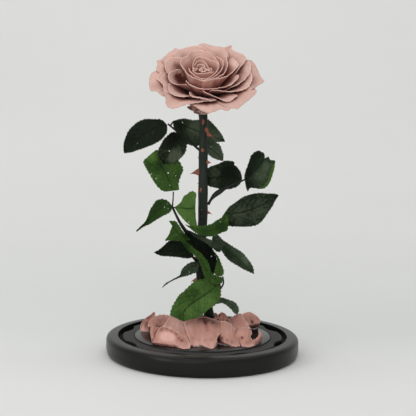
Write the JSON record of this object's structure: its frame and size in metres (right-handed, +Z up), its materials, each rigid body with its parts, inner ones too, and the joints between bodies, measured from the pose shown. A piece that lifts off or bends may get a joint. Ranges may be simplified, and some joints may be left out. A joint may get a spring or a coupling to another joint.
{
  "type": "preserved rose on round base",
  "caption": "Open preserved rose with thorny stem and leaflets, standing on a low round black base among fallen petals; the base has a groove and notches for a cover.",
  "frame": {"origin": "middle of the base's underside", "axes": "+Z up, -Y towards the front, where the bloom leans; +X to the viewer's right"},
  "size_m": [0.18, 0.18, 0.2888],
  "materials": {
    "base_body": "satin black lacquer",
    "ring": "dull black",
    "disc": "polished black",
    "stem": "natural bark",
    "leaf_stalk": "natural",
    "leaf": "preserved leaf, dull",
    "petal": "preserved petal, velvety",
    "heart": "preserved petal, velvety",
    "fallen_petal": "preserved petal, velvety"
  },
  "bodies": {
    "root": {"base_body": "base_body", "ring": "ring", "disc": "disc", "stem": "stem", "leaf_stalk_upper": "leaf_stalk", "leaf_stalk_middle_left": "leaf_stalk", "leaf_stalk_right": "leaf_stalk", "leaf_stalk_lower_left": "leaf_stalk", "leaf_stalk_lower_right": "leaf_stalk", "leaflet_upper_end": "leaf", "leaflet_upper_front": "leaf", "leaflet_upper_back": "leaf", "leaflet_upper_right": "leaf", "leaflet_left_top": "leaf", "leaflet_left_long": "leaf", "leaflet_left_inner": "leaf", "leaflet_left_low": "leaf", "leaflet_right_inner": "leaf", "leaflet_right_end": "leaf", "leaflet_right_long": "leaf", "leaflet_bright_front": "leaf", "leaflet_lower_right": "leaf", "leaflet_lower_left": "leaf", "leaflet_curled_left": "leaf", "leaflet_hanging": "leaf", "leaflet_small_right": "leaf", "leaflet_bottom_large": "leaf", "leaflet_bottom_right": "leaf", "outer_petal_front": "petal", "outer_petal_front_right": "petal", "outer_petal_right": "petal", "outer_petal_left": "petal", "outer_petal_front_left": "petal", "outer_petal_left_tip": "petal", "outer_petal_left_back": "petal", "middle_petal_left": "petal", "middle_petal_front_left": "petal", "middle_petal_front": "petal", "middle_petal_front_right": "petal", "middle_petal_right_low": "petal", "middle_petal_right": "petal", "outer_petal_back_right": "petal", "inner_petal_left_back": "petal", "inner_petal_left": "petal", "inner_petal_front": "petal", "inner_petal_right": "petal", "outer_petal_back": "petal", "outer_petal_back_left": "petal", "inner_petal_back_left": "petal", "bud_petal_right": "petal", "bud_petal_back": "petal", "heart": "heart", "fallen_petal_left": "fallen_petal", "fallen_petal_back_left": "fallen_petal", "fallen_petal_front_left": "fallen_petal", "fallen_petal_leaning_left": "fallen_petal", "fallen_petal_centre": "fallen_petal", "fallen_petal_front_right": "fallen_petal", "fallen_petal_right_bowl": "fallen_petal", "fallen_petal_leaning_right": "fallen_petal"}
  },
  "joints": []
}
